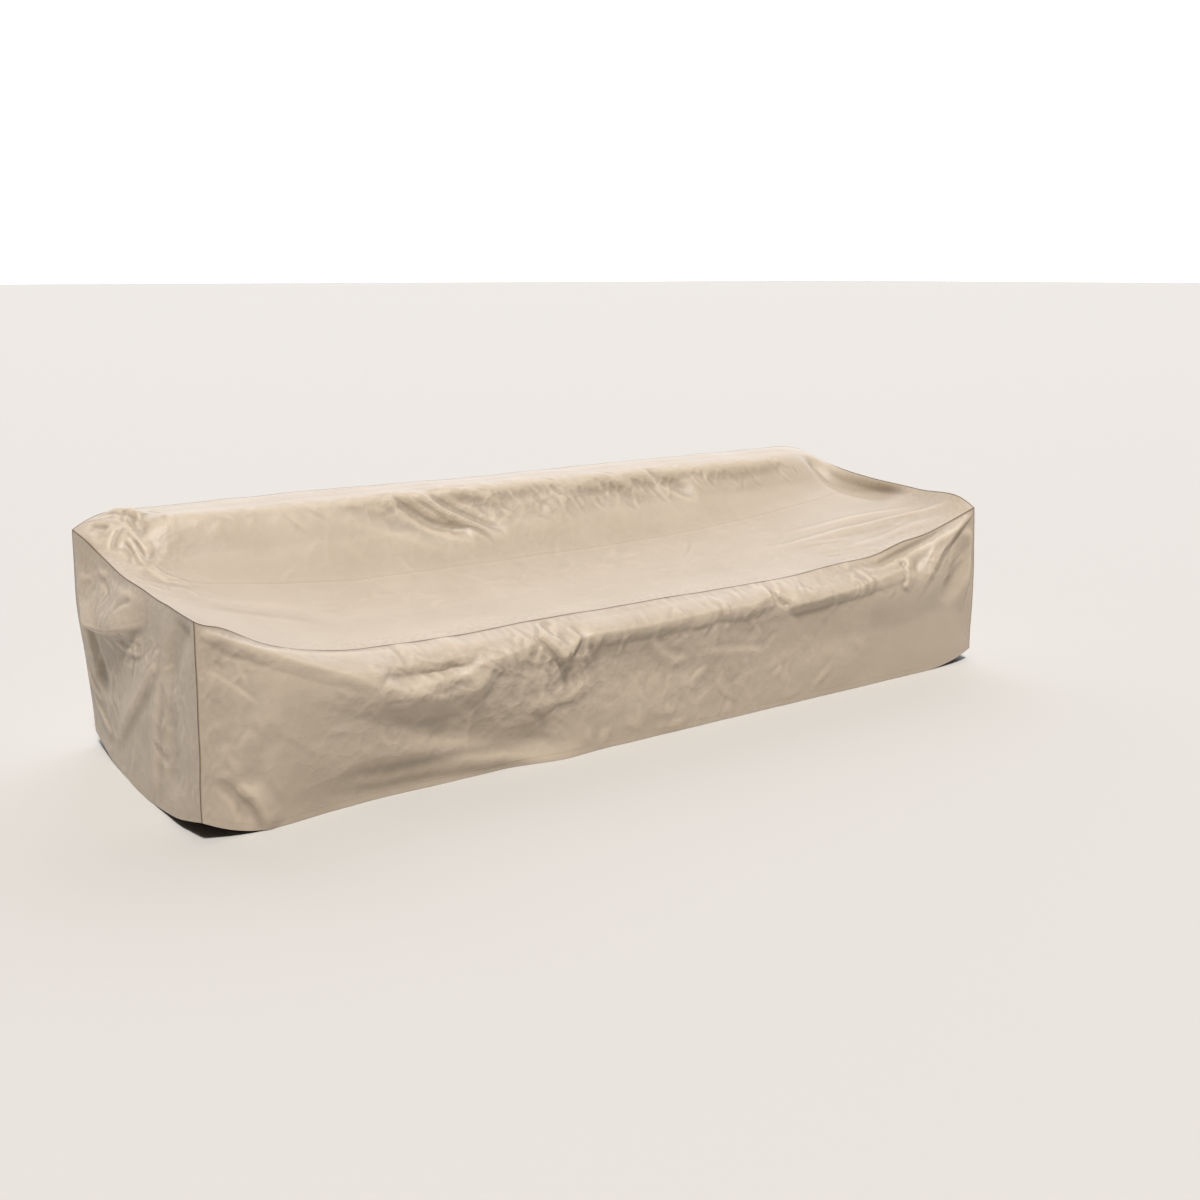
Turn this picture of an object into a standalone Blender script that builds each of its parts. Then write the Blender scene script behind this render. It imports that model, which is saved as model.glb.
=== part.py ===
"""Fitted outdoor sofa cover, hanging as it does over a long sofa with two arms and a back.

Metres, +Z up, +X along the cover to its right, -Y to its front. The origin is on the floor under
the middle of the cover. Six panels of coated polyester are cut and sewn: seat, backrest, front,
rear and two ends. Every panel is a grid of points between its seams. The points of a seam are
worked out once, so the panels on both sides of it follow the same line with a narrow gap.
"""

from collections import namedtuple

import bpy
import numpy as np

# Driving sizes
SEAM_LENGTH = 3.304  # between the arm seams, along X
SEAM_DEPTH = 1.063  # between the front corners' seams and the rear seam, along Y
BACK_HEIGHT = 0.82
ARM_HEIGHT = 0.663
SEAT_HEIGHT = 0.472  # of the front seam, in the middle
FLARE = 0.041  # how far the hem stands out past the seams above it
CLOTH = 0.002  # thickness of a panel
SEAM_GAP = 0.00024  # from the middle of a seam to the panel on either side

# How finely the panels are divided
COLUMNS = 52  # along X
SEAT_ROWS = 7
BACK_ROWS = 9
DROP_ROWS = 8  # from a seam down to the hem
END_CROWDING = 0.3  # how much closer the columns stand near the arms
PATH_STEPS = 16  # straight pieces that a fold's curve is measured with
TAPER = 0.18  # share of a fold's length over which it fades in, and out
SEAM_HOLD = 0.06  # folds fade out over this distance from a seam
LIP_REACH = 0.11  # the steep part of the right arm's inner side

X_END = SEAM_LENGTH / 2
Y_END = SEAM_DEPTH / 2
FLOOR = 0.0
WELD = 1e-6  # points nearer than this are the same point of a seam
SAME_PLANE = 0.02  # panels this near to one plane share one normal at their seam
TOP_PANELS = ("seat_panel", "backrest_panel")  # sewn all round, the others have a hem

# Warm sand, linear
CLOTH_COLOUR = (0.47, 0.38, 0.28, 1.0)
CLOTH_ROUGHNESS = 0.55
SHARP_ANGLE = 0.9

# A rail is a line along the cover that the cloth is stretched over. It runs level through the
# middle and climbs or drops to its two ends, over a reach at each arm. share is its place in
# its panel, from 0 at the first seam to 1 at the second. lip is how much more it rises at the
# right arm, whose inner side is steep. waves make it uneven.
Rail = namedtuple(
    "Rail",
    "share x_left y_left z_left y_middle z_middle x_right y_right z_right reach_left reach_right lip waves",
    defaults=(0.0, ()),
)
Wave = namedtuple("Wave", "x width y z")

FRONT_SEAM = Rail(
    0.0, -1.664, -Y_END, ARM_HEIGHT, -0.440, SEAT_HEIGHT, X_END, -Y_END, 0.664, 0.62, 0.85,
    waves=(
        Wave(-1.56, 0.08, 0.0, 0.014),
        Wave(-0.76, 0.20, 0.0, -0.008),
        Wave(0.93, 0.16, 0.0, 0.016),
        Wave(1.29, 0.08, 0.0, 0.012),
    ),
)
REAR_SEAM = Rail(
    2.0, -1.706, 0.530, 0.770, Y_END, BACK_HEIGHT, X_END, Y_END, 0.800, 0.15, 0.16,
    waves=(Wave(-0.95, 0.35, 0.0, 0.004), Wave(-0.10, 0.30, 0.0, -0.004)),
)

# Seat panel from share 0 to 1, backrest panel from 1 to 2. The rail at share 1 is the join seam.
TOP_RAILS = (
    FRONT_SEAM,
    Rail(0.10, -1.658, -0.470, 0.657, -0.385, 0.478, 1.652, -0.475, 0.664, 0.64, 0.90, 0.026),
    Rail(0.50, -1.653, -0.210, 0.657, -0.170, 0.492, 1.652, -0.220, 0.664, 0.80, 1.10, 0.038),
    Rail(1.00, -1.661, 0.130, 0.674, 0.120, 0.558, 1.651, 0.120, 0.672, 0.95, 1.50, 0.052),
    Rail(1.30, -1.668, 0.270, 0.694, 0.235, 0.690, 1.651, 0.240, 0.708, 0.60, 0.80, 0.030),
    Rail(1.52, -1.678, 0.360, 0.718, 0.325, 0.798, 1.652, 0.340, 0.748, 0.30, 0.34, 0.008),
    Rail(1.76, -1.694, 0.450, 0.752, 0.430, 0.819, 1.652, 0.440, 0.778, 0.20, 0.22),
    REAR_SEAM,
)
FRONT_RAILS = (
    FRONT_SEAM,
    Rail(0.12, -1.666, -0.536, 0.610, -0.505, 0.448, 1.655, -0.534, 0.610, 0.68, 0.50),
    Rail(0.24, -1.669, -0.538, 0.540, -0.545, 0.410, 1.658, -0.536, 0.540, 0.75, 0.42),
    Rail(0.60, -1.676, -0.537, 0.320, -0.546, 0.220, 1.668, -0.538, 0.320, 0.75, 0.50),
    Rail(1.00, -1.681, -0.528, 0.060, -0.546, FLOOR, 1.680, -0.530, 0.050, 0.22, 0.30),
)
REAR_RAILS = (
    REAR_SEAM._replace(share=0.0),
    Rail(0.35, -1.710, 0.540, 0.500, 0.556, 0.560, 1.664, 0.545, 0.500, 0.50, 0.50),
    Rail(0.70, -1.694, 0.536, 0.260, 0.570, 0.250, 1.675, 0.545, 0.260, 0.50, 0.50),
    Rail(1.00, -1.686, 0.530, 0.046, Y_END + FLARE, FLOOR, 1.684, 0.535, 0.045, 0.30, 0.30),
)

# The end panels' hems, by depth: how far each lies from the middle, and how high off the floor.
EndHem = namedtuple("EndHem", "y x_left z_left x_right z_right")
END_HEMS = (
    EndHem(-0.528, -1.681, 0.060, 1.680, 0.050),
    EndHem(-0.395, -1.700, 0.030, 1.697, 0.022),
    EndHem(-0.200, -1.703, 0.004, 1.716, FLOOR),
    EndHem(0.000, -1.708, FLOOR, 1.708, FLOOR),
    EndHem(0.210, -1.701, FLOOR, 1.698, FLOOR),
    EndHem(0.400, -1.692, 0.016, 1.692, 0.015),
    EndHem(0.530, -1.686, 0.046, 1.684, 0.045),
)

# A fold runs from its start through its middle to its end, in its panel's own two directions,
# and stands out (height over 0) or sinks in (under 0) along the cloth's normal.
Fold = namedtuple("Fold", "u0 v0 u_mid v_mid u1 v1 width height")

# Seat and backrest: u is X and v is Y.
TOP_FOLDS = (
    Fold(-1.64, 0.49, -1.57, 0.44, -1.47, 0.41, 0.040, -0.016),  # hollow behind the left corner
    Fold(-1.61, 0.42, -1.56, 0.34, -1.52, 0.26, 0.040, 0.016),
    Fold(-1.60, 0.30, -1.53, 0.17, -1.44, 0.06, 0.045, -0.010),
    Fold(-0.60, 0.34, -0.45, 0.26, -0.29, 0.22, 0.035, -0.022),  # sag in the backrest
    Fold(0.55, 0.33, 0.70, 0.27, 0.78, 0.20, 0.045, -0.012),
    Fold(1.60, -0.42, 1.30, -0.27, 0.86, -0.09, 0.050, 0.012),  # drawn from the right arm
    Fold(1.52, -0.39, 1.30, -0.31, 0.95, -0.22, 0.040, -0.014),
    Fold(-1.50, -0.13, -1.30, -0.11, -1.05, -0.18, 0.060, -0.008),
)
# Front panel: u is X and v is Z.
FRONT_FOLDS = (
    Fold(-1.44, 0.02, -1.05, 0.00, -0.20, 0.00, 0.17, 0.042),  # hem pushed out along the floor
    Fold(-1.53, 0.18, -1.50, 0.09, -1.47, 0.00, 0.040, 0.024),  # foot beside the corner
    Fold(-1.66, 0.20, -1.60, 0.15, -1.56, 0.05, 0.040, -0.014),
    Fold(-1.66, 0.49, -1.57, 0.38, -1.50, 0.24, 0.045, -0.014),
    Fold(-1.65, 0.54, -1.56, 0.45, -1.46, 0.38, 0.040, 0.012),
    Fold(-1.26, 0.42, -0.98, 0.33, -0.70, 0.32, 0.050, 0.014),  # swag slung from the arm
    Fold(-1.20, 0.43, -0.96, 0.41, -0.66, 0.40, 0.045, -0.010),
    Fold(-1.40, 0.39, -1.00, 0.24, -0.42, 0.08, 0.075, -0.024),
    Fold(-0.42, 0.46, -0.45, 0.40, -0.44, 0.34, 0.050, 0.020),  # pinch in the middle
    Fold(-0.10, 0.38, 0.10, 0.23, 0.48, 0.16, 0.050, -0.014),
    Fold(-1.45, 0.10, -1.00, 0.08, -0.42, 0.03, 0.050, -0.018),
    Fold(1.62, 0.56, 1.46, 0.42, 1.28, 0.26, 0.055, -0.022),  # hollow under the right corner
)
# Ends: u is Y and v is Z.
LEFT_FOLDS = (
    Fold(0.46, 0.66, 0.30, 0.58, 0.08, 0.61, 0.060, 0.018),  # pouch under the arm seam
    Fold(0.34, 0.48, 0.20, 0.48, 0.02, 0.56, 0.045, -0.016),
    Fold(0.52, 0.64, 0.36, 0.51, 0.20, 0.27, 0.035, 0.012),
    Fold(-0.14, 0.52, -0.08, 0.35, 0.18, 0.11, 0.045, 0.016),
    Fold(-0.22, 0.46, -0.27, 0.28, -0.22, 0.08, 0.055, -0.016),
)
RIGHT_FOLDS = (
    Fold(-0.50, 0.52, -0.34, 0.42, -0.20, 0.18, 0.050, -0.016),
    Fold(0.46, 0.62, 0.28, 0.50, 0.18, 0.20, 0.055, 0.014),
    Fold(-0.10, 0.56, -0.04, 0.36, 0.02, 0.06, 0.050, -0.012),
)
# Rear panel: u is X and v is Z.
REAR_FOLDS = (
    Fold(-1.55, 0.72, -1.35, 0.45, -1.25, 0.12, 0.070, 0.016),
    Fold(-0.95, 0.76, -0.40, 0.60, 0.20, 0.70, 0.080, -0.014),
    Fold(-0.60, 0.40, -0.20, 0.25, 0.10, 0.02, 0.080, 0.018),
    Fold(0.55, 0.70, 0.75, 0.40, 0.80, 0.05, 0.070, -0.014),
    Fold(1.50, 0.70, 1.36, 0.42, 1.28, 0.10, 0.060, 0.016),
)


def smooth_through(stations, values, at):
    """The cubic curve through values[k] at stations[k], its slopes taken from its neighbours."""
    stations = np.asarray(stations, float)
    values = np.asarray(values, float)
    at = np.asarray(at, float)
    slopes = np.gradient(values, stations, axis=0)
    k = np.clip(np.searchsorted(stations, at, side="right") - 1, 0, len(stations) - 2)
    step = stations[k + 1] - stations[k]
    q = (at - stations[k]) / step
    shape = q.shape + (1,) * (values.ndim - 1)
    q = q.reshape(shape)
    step = step.reshape(shape)
    return (
        (2 * q**3 - 3 * q**2 + 1) * values[k]
        + (q**3 - 2 * q**2 + q) * step * slopes[k]
        + (3 * q**2 - 2 * q**3) * values[k + 1]
        + (q**3 - q**2) * step * slopes[k + 1]
    )


def fading(distance, reach):
    """1 at no distance, falling along a parabola to 0 at the reach, as slack cloth hangs."""
    return (1.0 - np.clip(distance / reach, 0.0, 1.0)) ** 2


def ramp(distance, reach):
    """0 at no distance, rising smoothly to 1 at the reach."""
    q = np.clip(distance / reach, 0.0, 1.0)
    return q * q * (3.0 - 2.0 * q)


def column_places():
    """Shares of the length, from 0 to 1, closer together near both arms."""
    even = np.linspace(0.0, 1.0, COLUMNS + 1)
    return even - END_CROWDING * np.sin(2 * np.pi * even) / (2 * np.pi)


def rail_points(rail, places):
    """The rail's points: level in the middle, eased to its ends over its reaches, and waved."""
    x = rail.x_left + (rail.x_right - rail.x_left) * places
    left = fading(x - rail.x_left, rail.reach_left)
    right = fading(rail.x_right - x, rail.reach_right)
    y = rail.y_middle + (rail.y_left - rail.y_middle) * left + (rail.y_right - rail.y_middle) * right
    z = rail.z_middle + (rail.z_left - rail.z_middle) * left + (rail.z_right - rail.z_middle) * right
    z += rail.lip * fading(rail.x_right - x, LIP_REACH)
    for wave in rail.waves:
        bell = np.exp(-(((x - wave.x) / wave.width) ** 2))
        bell *= ramp(x - rail.x_left, wave.width) * ramp(rail.x_right - x, wave.width)
        y += wave.y * bell
        z += wave.z * bell
    return np.stack([x, y, z], axis=-1)


def lofted(rails, rows):
    """A grid over the rails: rows of points at these shares, each as long as a rail."""
    places = column_places()
    through = np.stack([rail_points(rail, places) for rail in rails])
    return smooth_through([rail.share for rail in rails], through, rows)


def stretched_between(top, hem, front, rear):
    """The surface that four edges span: the two ways across it, less its four corners' own."""
    a = np.linspace(0.0, 1.0, len(top))[None, :, None]
    t = np.linspace(0.0, 1.0, len(front))[:, None, None]
    across = (1 - t) * top[None] + t * hem[None] + (1 - a) * front[:, None] + a * rear[:, None]
    corners = (1 - t) * ((1 - a) * top[0] + a * top[-1]) + t * ((1 - a) * hem[0] + a * hem[-1])
    return across - corners


def normals_of(grid):
    """Unit normals: the cross product of the grid's two directions at each point."""
    along = np.gradient(grid, axis=1)
    down = np.gradient(grid, axis=0)
    normal = np.cross(along, down)
    return normal / np.linalg.norm(normal, axis=-1, keepdims=True)


def fold_height(fold, u, v):
    """How far the fold moves each point: a bell across its curve, faded out at both ends."""
    q = np.linspace(0.0, 1.0, PATH_STEPS + 1)[:, None]
    start = np.array([fold.u0, fold.v0])
    end = np.array([fold.u1, fold.v1])
    pull = 2 * np.array([fold.u_mid, fold.v_mid]) - (start + end) / 2
    path = (1 - q) ** 2 * start + 2 * q * (1 - q) * pull + q**2 * end
    step = np.diff(path, axis=0)
    offset = np.stack([u, v], axis=-1)[..., None, :] - path[:-1]
    along = np.clip((offset * step).sum(-1) / (step**2).sum(-1), 0.0, 1.0)
    distance = np.linalg.norm(offset - along[..., None] * step, axis=-1)
    nearest = distance.argmin(axis=-1)[..., None]
    share = (nearest + np.take_along_axis(along, nearest, -1)) / PATH_STEPS
    near = np.take_along_axis(distance, nearest, -1)[..., 0]
    fade = ramp(np.minimum(share, 1.0 - share)[..., 0], TAPER)
    return fold.height * np.exp(-((near / fold.width) ** 2)) * (0.25 + 0.75 * fade)


def held_by_seams(grid, seam_rows):
    """1 inside a panel, falling to 0 at its two side seams and at the rows that are seams."""
    down = np.zeros(grid.shape[:2])
    down[1:] = np.linalg.norm(np.diff(grid, axis=0), axis=-1).cumsum(axis=0)
    along = np.zeros(grid.shape[:2])
    along[:, 1:] = np.linalg.norm(np.diff(grid, axis=1), axis=-1).cumsum(axis=1)
    hold = ramp(along, SEAM_HOLD) * ramp(along[:, -1:] - along, SEAM_HOLD)
    if "first row" in seam_rows:
        hold = hold * ramp(down, SEAM_HOLD)
    if "last row" in seam_rows:
        hold = hold * ramp(down[-1:] - down, SEAM_HOLD)
    return hold


def folded(grid, folds, u_axis, v_axis, seam_rows):
    """The grid moved along its normals by its folds, which die out at its seams."""
    move = np.zeros(grid.shape[:2])
    for fold in folds:
        move += fold_height(fold, grid[..., u_axis], grid[..., v_axis])
    return grid + normals_of(grid) * (move * held_by_seams(grid, seam_rows))[..., None]


def above_floor(grid):
    """The grid with its low points lifted onto the floor."""
    return np.concatenate([grid[..., :2], np.maximum(grid[..., 2:], FLOOR)], axis=-1)


def end_hems(front_hem, rear_hem, points):
    """Both end panels' hems, from the front panel's corners to the rear panel's."""
    table = np.array(END_HEMS)
    y = np.linspace(table[0, 0], table[-1, 0], points)
    x_left, z_left, x_right, z_right = smooth_through(table[:, 0], table[:, 1:], y).T
    left = np.stack([x_left, y, z_left], axis=-1)
    right = np.stack([x_right, y, z_right], axis=-1)
    left[0], left[-1] = front_hem[0], rear_hem[0]
    right[0], right[-1] = front_hem[-1], rear_hem[-1]
    return left, right


def cover_panels():
    """The outer face of each panel, as a grid of points. The first axis crossed by the second
    points into the cover, so that faces wound along the second axis first point out of it."""
    seat_shares = np.linspace(0.0, 1.0, SEAT_ROWS, endpoint=False)
    shares = np.concatenate([seat_shares, np.linspace(1.0, 2.0, BACK_ROWS + 1)])
    drop = np.linspace(0.0, 1.0, DROP_ROWS + 1)
    top = lofted(TOP_RAILS, shares)
    front = lofted(FRONT_RAILS, drop)
    rear = lofted(REAR_RAILS, drop)
    hem_left, hem_right = end_hems(front[-1], rear[-1], len(top))
    left = stretched_between(top[:, 0], hem_left, front[:, 0], rear[:, 0])
    right = stretched_between(top[:, -1], hem_right, front[:, -1], rear[:, -1])

    top = folded(top, TOP_FOLDS, 0, 1, ("first row", "last row"))
    return {
        "seat_panel": top[: SEAT_ROWS + 1],
        "backrest_panel": top[SEAT_ROWS:],
        "front_panel": above_floor(folded(front[:, ::-1], FRONT_FOLDS, 0, 2, ("first row",))),
        "rear_panel": above_floor(folded(rear, REAR_FOLDS, 0, 2, ("first row",))),
        "left_end_panel": above_floor(folded(left, LEFT_FOLDS, 1, 2, ("first row",))),
        "right_end_panel": above_floor(folded(right[:, ::-1], RIGHT_FOLDS, 1, 2, ("first row",))),
    }


def mitres(panels):
    """Each point's step from the outer face to the inner one, for a cloth one unit thick. Where
    panels meet, the step reaches as deep along each panel's normal: the mitre of the seam."""
    points = np.concatenate([grid.reshape(-1, 3) for grid in panels.values()])
    normals = np.concatenate([normals_of(grid).reshape(-1, 3) for grid in panels.values()])
    _, place = np.unique(np.round(points / WELD).astype(np.int64), axis=0, return_inverse=True)
    place = place.reshape(-1)
    squares = np.zeros((place.max() + 1, 3, 3))
    sums = np.zeros((place.max() + 1, 3))
    np.add.at(squares, place, normals[:, :, None] * normals[:, None, :])
    np.add.at(sums, place, normals)
    step = (np.linalg.pinv(squares, rcond=SAME_PLANE) @ sums[..., None])[place, :, 0]
    ends = np.cumsum([grid.shape[0] * grid.shape[1] for grid in panels.values()])
    parts = np.split(step, ends[:-1])
    return {name: part.reshape(panels[name].shape) for name, part in zip(panels, parts)}


def pulled_back(grid, mitre, hem):
    """The step that takes each edge point off its seam, into its own panel. It grows with the
    mitre, so that panels meeting at a sharp ridge lie no closer than those on a flat seam. The
    hem stays where it is."""
    gap = SEAM_GAP * np.linalg.norm(mitre, axis=-1, keepdims=True)
    step = np.zeros_like(grid)
    for edge, next_in in (
        (np.s_[0, :], np.s_[1, :]),
        (np.s_[-1, :], np.s_[-2, :]),
        (np.s_[:, 0], np.s_[:, 1]),
        (np.s_[:, -1], np.s_[:, -2]),
    ):
        if hem and edge == np.s_[-1, :]:
            continue
        inward = grid[next_in] - grid[edge]
        step[edge] += gap[edge] * inward / np.linalg.norm(inward, axis=-1, keepdims=True)
    return step


def closed_sheet(outer, inner):
    """Points and triangles of the sheet between two grids: both faces and the wall round them."""
    rows, columns = outer.shape[:2]
    index = np.arange(rows * columns).reshape(rows, columns)
    a, b, c, d = index[:-1, :-1], index[:-1, 1:], index[1:, 1:], index[1:, :-1]
    face = np.concatenate([np.stack([a, b, c], -1).reshape(-1, 3), np.stack([a, c, d], -1).reshape(-1, 3)])
    round_edge = np.concatenate([index[0, :-1], index[:-1, -1], index[-1, :0:-1], index[:0:-1, 0]])
    after = np.roll(round_edge, -1)
    back = rows * columns
    wall = np.concatenate([
        np.stack([after, round_edge, round_edge + back], -1),
        np.stack([after, round_edge + back, after + back], -1),
    ])
    points = np.concatenate([outer.reshape(-1, 3), inner.reshape(-1, 3)])
    return points, np.concatenate([face, face[:, ::-1] + back, wall])


def cloth_material(name):
    """Woven polyester with a coated back: warm sand, a soft satin, no metal."""
    material = bpy.data.materials.new(name)
    material.use_nodes = True
    shader = material.node_tree.nodes["Principled BSDF"]
    shader.inputs["Base Color"].default_value = CLOTH_COLOUR
    shader.inputs["Roughness"].default_value = CLOTH_ROUGHNESS
    shader.inputs["Metallic"].default_value = 0.0
    return material


def add_panel(name, points, triangles, parent):
    """The panel's object, smooth over its folds, with its own cloth."""
    mesh = bpy.data.meshes.new(name)
    mesh.from_pydata(points.tolist(), [], triangles.tolist())
    mesh.shade_smooth()
    mesh.set_sharp_from_angle(angle=SHARP_ANGLE)
    mesh.materials.append(cloth_material(name + "_cloth"))
    panel = bpy.data.objects.new(name, mesh)
    panel.parent = parent
    bpy.context.scene.collection.objects.link(panel)


def main():
    """Clear the scene and sew the cover."""
    for old in list(bpy.data.objects):
        bpy.data.objects.remove(old)
    cover = bpy.data.objects.new("cover", None)
    bpy.context.scene.collection.objects.link(cover)
    panels = cover_panels()
    steps = mitres(panels)
    for name, grid in panels.items():
        outer = grid + pulled_back(grid, steps[name], hem=name not in TOP_PANELS)
        points, triangles = closed_sheet(outer, outer - CLOTH * steps[name])
        add_panel(name, points, triangles, cover)


main()
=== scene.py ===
"""Looks of a fitted outdoor sofa cover: a long seat, a backrest and two arms in draped cloth.

Metres, +Z up, +X along the cover to its right, -Y to its front. Each of the six panels is a fine
sheet in the place of its plain solid: a grid of points lofted between the same seams, moved along
its normals by main folds placed one by one, by patches of small creases and by the puckers beside
the seams. Topstitching follows the seams and the hem.
"""

from collections import namedtuple
from math import radians

import bpy
import numpy as np
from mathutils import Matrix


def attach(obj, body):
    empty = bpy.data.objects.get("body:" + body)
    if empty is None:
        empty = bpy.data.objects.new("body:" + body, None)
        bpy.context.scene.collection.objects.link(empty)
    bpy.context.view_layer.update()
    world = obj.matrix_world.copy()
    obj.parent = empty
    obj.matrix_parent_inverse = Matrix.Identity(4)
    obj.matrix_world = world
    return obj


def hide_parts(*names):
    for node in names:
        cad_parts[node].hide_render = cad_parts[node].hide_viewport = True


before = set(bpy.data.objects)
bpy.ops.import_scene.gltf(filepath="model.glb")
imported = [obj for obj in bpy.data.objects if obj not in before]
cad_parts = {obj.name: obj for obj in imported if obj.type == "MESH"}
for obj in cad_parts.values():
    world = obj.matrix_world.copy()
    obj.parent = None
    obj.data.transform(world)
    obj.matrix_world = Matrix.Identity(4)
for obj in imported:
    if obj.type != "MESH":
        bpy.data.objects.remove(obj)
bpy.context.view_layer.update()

# ---------------------------------------------------------------------------------------------
# Sizes, as the solids have them

SEAM_LENGTH = 3.304  # between the arm seams, along X
SEAM_DEPTH = 1.063  # between the front corners' seams and the rear seam, along Y
BACK_HEIGHT = 0.82
ARM_HEIGHT = 0.663
SEAT_HEIGHT = 0.472  # of the front seam, in the middle
FLARE = 0.041  # how far the rear hem stands out past the seam above it
LIP_REACH = 0.11  # the steep part of the right arm's inner side
X_END = SEAM_LENGTH / 2
Y_END = SEAM_DEPTH / 2
FLOOR = 0.0
X, Y, Z = range(3)  # a point's coordinates

CLOTH = 0.0012  # thickness of a panel
WELD = 1e-6  # points nearer than this are the same point of a seam
SAME_PLANE = 0.02  # panels this near to one plane share one normal at their seam
SHARP_TURN = 1.2  # radians, past which an edge is shaded as an edge

# How finely the panels are divided
COLUMNS = 540
END_CROWDING = 0.3  # by how much the columns near both arms are closer together
DROP_CROWDING = 0.4  # by how much rows are closer together where they are closest
DROP_CROWDED = 0.3  # how far down the hanging panels that is
SEAT_ROWS = 74
BACK_ROWS = 72
DROP_ROWS = 84
SEAM_SHARES = (0.0030, 0.0065, 0.0110)  # extra rows close beside a seam, as shares of a panel
END_SHARES = (0.0005, 0.0011, 0.0018)  # extra columns close beside the arm seams

# ---------------------------------------------------------------------------------------------
# Rails: the lines along the cover that the cloth is stretched over. share is a rail's place across
# the cloth: 0 at the first seam, 1 at the next one or the hem, and 2 at the top's rear seam. The
# reaches are how far in from each end it curves before it runs level, lip is how much more it rises
# at the right arm's steep inner side, and waves are small swells and dips in it, each a bell.

Rail = namedtuple(
    "Rail",
    "share x_left y_left z_left y_middle z_middle x_right y_right z_right"
    " reach_left reach_right lip waves",
    defaults=(0.0, ()),
)
Wave = namedtuple("Wave", "x width y z")

FRONT_SEAM = Rail(
    0.0, -1.664, -Y_END, ARM_HEIGHT, -0.440, SEAT_HEIGHT, X_END, -Y_END, 0.664, 0.62, 0.85,
    waves=(
        Wave(-1.56, 0.08, 0.0, 0.014),
        Wave(-0.76, 0.20, 0.0, -0.008),
        Wave(0.93, 0.16, 0.0, 0.016),
        Wave(1.29, 0.08, 0.0, 0.012),
    ),
)
REAR_SEAM = Rail(
    2.0, -1.706, 0.530, 0.770, Y_END, BACK_HEIGHT, X_END, Y_END, 0.800, 0.15, 0.16,
    waves=(Wave(-0.95, 0.35, 0.0, 0.004), Wave(-0.10, 0.30, 0.0, -0.004)),
)
TOP_RAILS = (
    FRONT_SEAM,
    Rail(0.10, -1.658, -0.470, 0.657, -0.385, 0.478, 1.652, -0.475, 0.664, 0.64, 0.90, 0.026),
    Rail(0.50, -1.653, -0.210, 0.657, -0.170, 0.492, 1.652, -0.220, 0.664, 0.80, 1.10, 0.038),
    Rail(1.00, -1.661, 0.130, 0.674, 0.120, 0.558, 1.651, 0.120, 0.672, 0.95, 1.50, 0.052),
    Rail(1.30, -1.668, 0.270, 0.694, 0.235, 0.690, 1.651, 0.240, 0.708, 0.60, 0.80, 0.030),
    Rail(1.52, -1.678, 0.360, 0.718, 0.325, 0.798, 1.652, 0.340, 0.748, 0.30, 0.34, 0.008),
    Rail(1.76, -1.694, 0.450, 0.752, 0.430, 0.819, 1.652, 0.440, 0.778, 0.20, 0.22),
    REAR_SEAM,
)
FRONT_RAILS = (
    FRONT_SEAM,
    Rail(0.12, -1.666, -0.536, 0.610, -0.505, 0.448, 1.655, -0.534, 0.610, 0.68, 0.50),
    Rail(0.24, -1.669, -0.538, 0.540, -0.545, 0.410, 1.658, -0.536, 0.540, 0.75, 0.42),
    Rail(0.60, -1.676, -0.537, 0.320, -0.546, 0.220, 1.668, -0.538, 0.320, 0.75, 0.50),
    Rail(1.00, -1.681, -0.528, 0.060, -0.546, FLOOR, 1.680, -0.530, 0.050, 0.22, 0.30),
)
REAR_RAILS = (
    REAR_SEAM._replace(share=0.0),
    Rail(0.35, -1.710, 0.540, 0.500, 0.556, 0.560, 1.664, 0.545, 0.500, 0.50, 0.50),
    Rail(0.70, -1.694, 0.536, 0.260, 0.570, 0.250, 1.675, 0.545, 0.260, 0.50, 0.50),
    Rail(1.00, -1.686, 0.530, 0.046, Y_END + FLARE, FLOOR, 1.684, 0.535, 0.045, 0.30, 0.30),
)
# Points of both ends' hems, from the front to the rear
EndHem = namedtuple("EndHem", "y x_left z_left x_right z_right")
END_HEMS = (
    EndHem(-0.528, -1.681, 0.060, 1.680, 0.050),
    EndHem(-0.395, -1.700, 0.030, 1.697, 0.022),
    EndHem(-0.200, -1.703, 0.004, 1.716, FLOOR),
    EndHem(0.000, -1.708, FLOOR, 1.708, FLOOR),
    EndHem(0.210, -1.701, FLOOR, 1.698, FLOOR),
    EndHem(0.400, -1.692, 0.016, 1.692, 0.015),
    EndHem(0.530, -1.686, 0.046, 1.684, 0.045),
)

# ---------------------------------------------------------------------------------------------
# Folds: each runs from its start through its middle to its end, in its panel's two directions.
# near is its width on the left of the way it runs, far on the right; height is how far it stands
# out, or sinks in; edge is how round its crest is, from 0, a crease, to 1, a soft swell; taper is
# the share of its length over which it fades at its start, and end_taper at its end if it differs.

Fold = namedtuple(
    "Fold",
    "u0 v0 u_mid v_mid u1 v1 near far height edge taper end_taper",
    defaults=(0.5, 0.3, None),
)
PATH_STEPS = 24  # straight pieces that a fold's curve is measured with
FOLD_REACH = 4.5  # how many widths from its curve a fold is felt,
FOLD_FADE = 2.0  # and over how many of them, the last, it fades

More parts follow.
